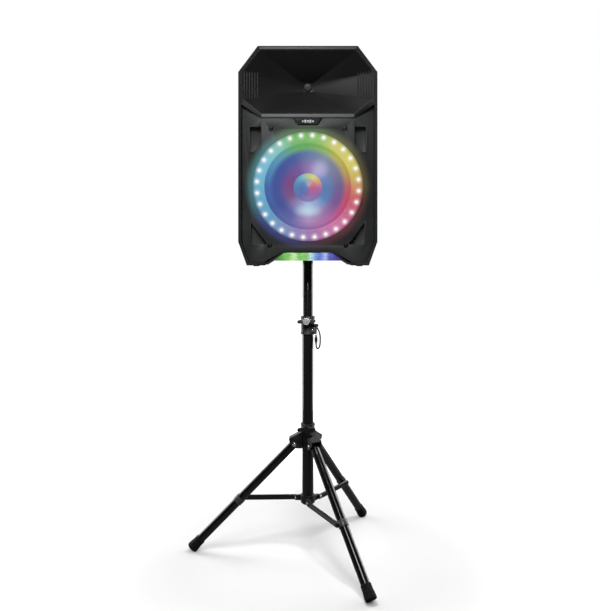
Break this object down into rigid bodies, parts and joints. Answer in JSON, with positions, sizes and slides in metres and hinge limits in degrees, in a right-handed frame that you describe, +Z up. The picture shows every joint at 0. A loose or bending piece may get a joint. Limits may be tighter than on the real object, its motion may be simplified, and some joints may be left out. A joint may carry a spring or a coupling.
{
  "type": "party speaker",
  "caption": "Powered party loudspeaker with a flared horn above a woofer in a lit ring, on a folding tripod stand with a telescoping mast.",
  "frame": {"origin": "on the floor, on the mast's axis, midway between the three feet", "axes": "+Z up along the mast; the loudspeaker's front faces -Y; +X to the right seen from the front"},
  "size_m": [0.5889, 0.6607, 1.547],
  "materials": {
    "shell_plastic": "fine moulded grain",
    "baffle_plastic": "fine moulded grain",
    "horn_plastic": "smooth satin",
    "ring_lens": "lit diffuser",
    "bar_lens": "lit diffuser",
    "led_white": "lit",
    "cone_poly": "woven poly cone",
    "cap_poly": "satin dust cap",
    "surround_rubber": "matt",
    "spider_cloth": "resin-dipped cloth",
    "basket_steel": "satin black",
    "magnet": "ferrite and steel plates",
    "coil_copper": "enamelled wire",
    "board": "printed circuit board",
    "heat_sink": "extruded",
    "transformer": "laminations",
    "badge": "gloss",
    "panel_plastic": "fine grain",
    "control_plastic": "satin",
    "button_plastic": "satin grey",
    "jack_metal": "nickel",
    "black_screw": "blackened",
    "tube_paint": "gloss black powder coat",
    "moulded_black": "glass-filled nylon",
    "knob_black": "satin",
    "bright_steel": "zinc plated",
    "band_grey": "dark grey",
    "foot_rubber": "matt",
    "lanyard": "coated wire"
  },
  "bodies": {
    "column": {"column_tube": "tube_paint", "column_end_cap": "moulded_black", "clamp_collar": "moulded_black", "collar_bolts": "bright_steel", "brace_hub": "moulded_black", "brace_pivot_bolts": "bright_steel"},
    "mast": {"mast_tube": "tube_paint", "mast_guide": "moulded_black"},
    "adaptor": {"pole_adaptor": "moulded_black"},
    "speaker": {"cabinet_shell": "shell_plastic", "cabinet_feet": "foot_rubber", "front_baffle": "baffle_plastic", "horn_flare": "horn_plastic", "throat_plug": "horn_plastic", "compression_driver": "basket_steel", "woofer_basket": "basket_steel", "woofer_magnet": "magnet", "woofer_cone": "cone_poly", "woofer_surround": "surround_rubber", "woofer_spider": "spider_cloth", "voice_coil": "coil_copper", "dust_cap": "cap_poly", "led_ring_lens": "ring_lens", "led_ring_board": "board", "ring_leds": "led_white", "base_light": "bar_lens", "base_light_board": "board", "badge_plate": "badge", "baffle_screws": "black_screw", "pole_cup": "shell_plastic", "rear_panel": "panel_plastic", "input_jacks": "jack_metal", "power_inlet": "panel_plastic", "amp_board": "board", "heat_sink": "heat_sink", "power_transformer": "transformer"},
    "mast_knob": {"mast_knob": "knob_black", "mast_knob_cap": "bright_steel"},
    "safety_pin": {"safety_pin": "moulded_black", "pin_lanyard": "lanyard"},
    "hub": {"leg_hub": "moulded_black", "hub_pivot_bolts": "bright_steel"},
    "hub_knob": {"hub_knob": "knob_black"},
    "leg_left": {"leg_left": "tube_paint", "foot_left": "foot_rubber", "leg_band_left": "band_grey"},
    "brace_left": {"brace_left": "tube_paint"},
    "leg_front": {"leg_front": "tube_paint", "foot_front": "foot_rubber", "leg_band_front": "band_grey"},
    "brace_front": {"brace_front": "tube_paint"},
    "leg_rear": {"leg_rear": "tube_paint", "foot_rear": "foot_rubber", "leg_band_rear": "band_grey"},
    "brace_rear": {"brace_rear": "tube_paint"},
    "volume_knob": {"volume_knob": "control_plastic"},
    "mic_knob": {"mic_knob": "control_plastic"},
    "play_button": {"play_button": "button_plastic"},
    "light_button": {"light_button": "button_plastic"},
    "power_rocker": {"power_rocker": "control_plastic"}
  },
  "joints": [
    {"name": "hub_slide", "type": "slide", "parent": "column", "child": "hub", "axis": [0, 0, 1], "range_m": [0, 0.2488]},
    {"name": "leg_left_fold", "type": "hinge", "parent": "hub", "child": "leg_left", "pos_m": [-0.04147, 0.00159, 0.3446], "axis": [-0.0384, -0.9993, 0], "range_deg": [0, 38.2]},
    {"name": "leg_front_fold", "type": "hinge", "parent": "hub", "child": "leg_front", "pos_m": [0.01936, -0.03671, 0.3446], "axis": [0.8846, 0.4664, 0], "range_deg": [0, 38.2]},
    {"name": "leg_rear_fold", "type": "hinge", "parent": "hub", "child": "leg_rear", "pos_m": [0.02211, 0.03512, 0.3446], "axis": [-0.8462, 0.5329, 0], "range_deg": [0, 38.2]},
    {"name": "brace_left_fold", "type": "hinge", "parent": "column", "child": "brace_left", "pos_m": [-0.03937, 0.00151, 0.169], "axis": [0.0384, 0.9993, 0], "range_deg": [0, 82.18]},
    {"name": "brace_front_fold", "type": "hinge", "parent": "column", "child": "brace_front", "pos_m": [0.01838, -0.03485, 0.169], "axis": [-0.8846, -0.4664, 0], "range_deg": [0, 82.18]},
    {"name": "brace_rear_fold", "type": "hinge", "parent": "column", "child": "brace_rear", "pos_m": [0.02099, 0.03334, 0.169], "axis": [0.8462, -0.5329, 0], "range_deg": [0, 82.18]},
    {"name": "mast_height", "type": "slide", "parent": "column", "child": "mast", "axis": [0, 0, 1], "range_m": [-0.14, 0.25]},
    {"name": "speaker_swivel", "type": "hinge", "parent": "mast", "child": "adaptor", "pos_m": [0, 0, 0.98], "axis": [0, 0, 1], "continuous": true},
    {"name": "speaker_lift", "type": "slide", "parent": "adaptor", "child": "speaker", "axis": [0, 0, 1], "range_m": [0, 0.09]},
    {"name": "mast_knob_turn", "type": "hinge", "parent": "column", "child": "mast_knob", "pos_m": [0, 0, 0.731], "axis": [-0.1219, -0.9925, 0], "range_deg": [0, 450]},
    {"name": "hub_knob_turn", "type": "hinge", "parent": "hub", "child": "hub_knob", "pos_m": [0, 0, 0.396], "axis": [-0.1219, -0.9925, 0], "range_deg": [0, 450]},
    {"name": "pin_swing", "type": "hinge", "parent": "column", "child": "safety_pin", "pos_m": [0.0285, -0.005, 0.716], "axis": [0, -1, 0], "range_deg": [-0.5, 40]},
    {"name": "volume_turn", "type": "hinge", "parent": "speaker", "child": "volume_knob", "pos_m": [-0.062, 0.148, 1.282], "axis": [0, 1, 0], "range_deg": [-150, 150]},
    {"name": "mic_turn", "type": "hinge", "parent": "speaker", "child": "mic_knob", "pos_m": [-0.01, 0.148, 1.282], "axis": [0, 1, 0], "range_deg": [-150, 150]},
    {"name": "play_press", "type": "slide", "parent": "speaker", "child": "play_button", "axis": [0, -1, 0], "range_m": [0, 0.0012], "stiffness_N_per_m": 400},
    {"name": "light_press", "type": "slide", "parent": "speaker", "child": "light_button", "axis": [0, -1, 0], "range_m": [0, 0.0012], "stiffness_N_per_m": 400},
    {"name": "rocker_tip", "type": "hinge", "parent": "speaker", "child": "power_rocker", "pos_m": [0.078, 0.148, 1.199], "axis": [1, 0, 0], "range_deg": [0, 16]}
  ],
  "couplings": [
    {"joint": "leg_left_fold", "follows": "hub_slide", "rad_per_m": 2.6788},
    {"joint": "leg_front_fold", "follows": "hub_slide", "rad_per_m": 2.6788},
    {"joint": "leg_rear_fold", "follows": "hub_slide", "rad_per_m": 2.6788},
    {"joint": "brace_left_fold", "follows": "hub_slide", "rad_per_m": 5.7644},
    {"joint": "brace_front_fold", "follows": "hub_slide", "rad_per_m": 5.7644},
    {"joint": "brace_rear_fold", "follows": "hub_slide", "rad_per_m": 5.7644}
  ]
}
